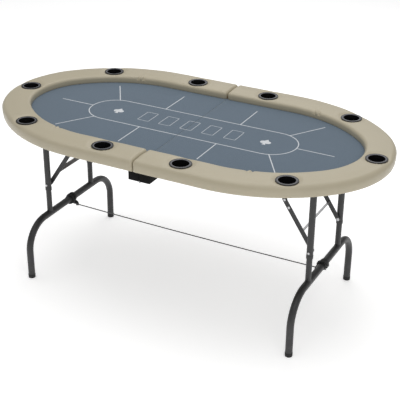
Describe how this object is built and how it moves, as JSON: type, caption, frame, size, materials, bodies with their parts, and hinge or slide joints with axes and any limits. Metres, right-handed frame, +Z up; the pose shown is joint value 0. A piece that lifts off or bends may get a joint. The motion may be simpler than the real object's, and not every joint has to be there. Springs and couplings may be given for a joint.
{
  "type": "folding poker table",
  "caption": "Oval poker table that folds across the middle, with a printed cloth, padded rail, cup holders and folding braced legs.",
  "frame": {"origin": "on the floor, under the middle of the fold line", "axes": "+Z up, X along the table's length, Y across it; the left half is on -X"},
  "size_m": [1.8, 0.97, 0.803],
  "materials": {
    "panel_wood": "painted underside",
    "core_wood": "raw",
    "foam": "soft foam",
    "cloth": "woven, printed",
    "vinyl": "soft grained vinyl",
    "cup": "gloss",
    "block": "black paint",
    "hinge_steel": "satin",
    "bracket": "satin black",
    "rivet": "satin",
    "leg_paint": "satin charcoal",
    "collar": "matt",
    "foot_rubber": "matt",
    "strap": "woven",
    "cord": "woven"
  },
  "bodies": {
    "left_half": {"left_top_panel": "panel_wood", "left_underlay": "foam", "left_playing_cloth": "cloth", "left_rail_core": "core_wood", "left_rail_foam": "foam", "left_rail_cover": "vinyl", "left_cup_1": "cup", "left_cup_2": "cup", "left_cup_3": "cup", "left_cup_4": "cup", "left_cup_5": "cup", "left_hinge_blocks": "block", "left_hinge_leaves": "hinge_steel", "left_leg_saddles": "bracket", "left_brace_hangers": "bracket", "left_hanger_rivets": "rivet", "left_underside_screws": "rivet", "hinge_pins": "hinge_steel", "tie_cord": "cord"},
    "left_leg": {"left_upper_leg_frame": "leg_paint", "left_sleeve_collars": "collar", "left_clamp_screws": "rivet", "left_brace_studs": "rivet"},
    "left_foot": {"left_lower_leg_frame": "leg_paint", "left_foot_caps": "foot_rubber", "left_tie_strap": "strap"},
    "left_lower_brace": {"left_lower_brace_links": "leg_paint", "left_brace_spreader": "leg_paint", "left_link_rivets": "rivet"},
    "left_upper_brace": {"left_upper_brace_links": "leg_paint", "left_knee_rivets": "rivet"},
    "right_half": {"right_top_panel": "panel_wood", "right_underlay": "foam", "right_playing_cloth": "cloth", "right_rail_core": "core_wood", "right_rail_foam": "foam", "right_rail_cover": "vinyl", "right_cup_1": "cup", "right_cup_2": "cup", "right_cup_3": "cup", "right_cup_4": "cup", "right_cup_5": "cup", "right_hinge_blocks": "block", "right_hinge_leaves": "hinge_steel", "right_leg_saddles": "bracket", "right_brace_hangers": "bracket", "right_hanger_rivets": "rivet", "right_underside_screws": "rivet"},
    "right_leg": {"right_upper_leg_frame": "leg_paint", "right_sleeve_collars": "collar", "right_clamp_screws": "rivet", "right_brace_studs": "rivet"},
    "right_foot": {"right_lower_leg_frame": "leg_paint", "right_foot_caps": "foot_rubber", "right_tie_strap": "strap"},
    "right_lower_brace": {"right_lower_brace_links": "leg_paint", "right_brace_spreader": "leg_paint", "right_link_rivets": "rivet"},
    "right_upper_brace": {"right_upper_brace_links": "leg_paint", "right_knee_rivets": "rivet"}
  },
  "joints": [
    {"name": "table_fold", "type": "hinge", "parent": "left_half", "child": "right_half", "pos_m": [0, 0, 0.684], "axis": [0, 1, 0], "range_deg": [0, 80], "deforming": ["tie_cord"]},
    {"name": "left_leg_fold", "type": "hinge", "parent": "left_half", "child": "left_leg", "pos_m": [-0.651, 0, 0.718], "axis": [0, -1, 0], "range_deg": [0, 90], "deforming": ["tie_cord"]},
    {"name": "left_foot_slide", "type": "slide", "parent": "left_leg", "child": "left_foot", "axis": [0, 0, 1], "range_m": [0, 0.1]},
    {"name": "left_lower_brace_turn", "type": "hinge", "parent": "left_leg", "child": "left_lower_brace", "pos_m": [-0.651, 0, 0.408], "axis": [0, -1, 0], "range_deg": [0, 33.43]},
    {"name": "left_upper_brace_turn", "type": "hinge", "parent": "left_half", "child": "left_upper_brace", "pos_m": [-0.446, 0, 0.718], "axis": [0, -1, 0], "range_deg": [-56.53, 0]},
    {"name": "right_leg_fold", "type": "hinge", "parent": "right_half", "child": "right_leg", "pos_m": [0.651, 0, 0.718], "axis": [0, 1, 0], "range_deg": [0, 90], "deforming": ["tie_cord"]},
    {"name": "right_foot_slide", "type": "slide", "parent": "right_leg", "child": "right_foot", "axis": [0, 0, 1], "range_m": [0, 0.1]},
    {"name": "right_lower_brace_turn", "type": "hinge", "parent": "right_leg", "child": "right_lower_brace", "pos_m": [0.651, 0, 0.408], "axis": [0, 1, 0], "range_deg": [0, 33.43]},
    {"name": "right_upper_brace_turn", "type": "hinge", "parent": "right_half", "child": "right_upper_brace", "pos_m": [0.446, 0, 0.718], "axis": [0, 1, 0], "range_deg": [-56.53, 0]}
  ],
  "couplings": [
    {"joint": "left_foot_slide", "follows": "left_leg_fold", "m_per_rad": 0.063662},
    {"joint": "left_lower_brace_turn", "follows": "left_leg_fold", "ratio": 0.3714},
    {"joint": "left_upper_brace_turn", "follows": "left_leg_fold", "ratio": -0.628},
    {"joint": "right_foot_slide", "follows": "right_leg_fold", "m_per_rad": 0.063662},
    {"joint": "right_lower_brace_turn", "follows": "right_leg_fold", "ratio": 0.3714},
    {"joint": "right_upper_brace_turn", "follows": "right_leg_fold", "ratio": -0.628}
  ]
}
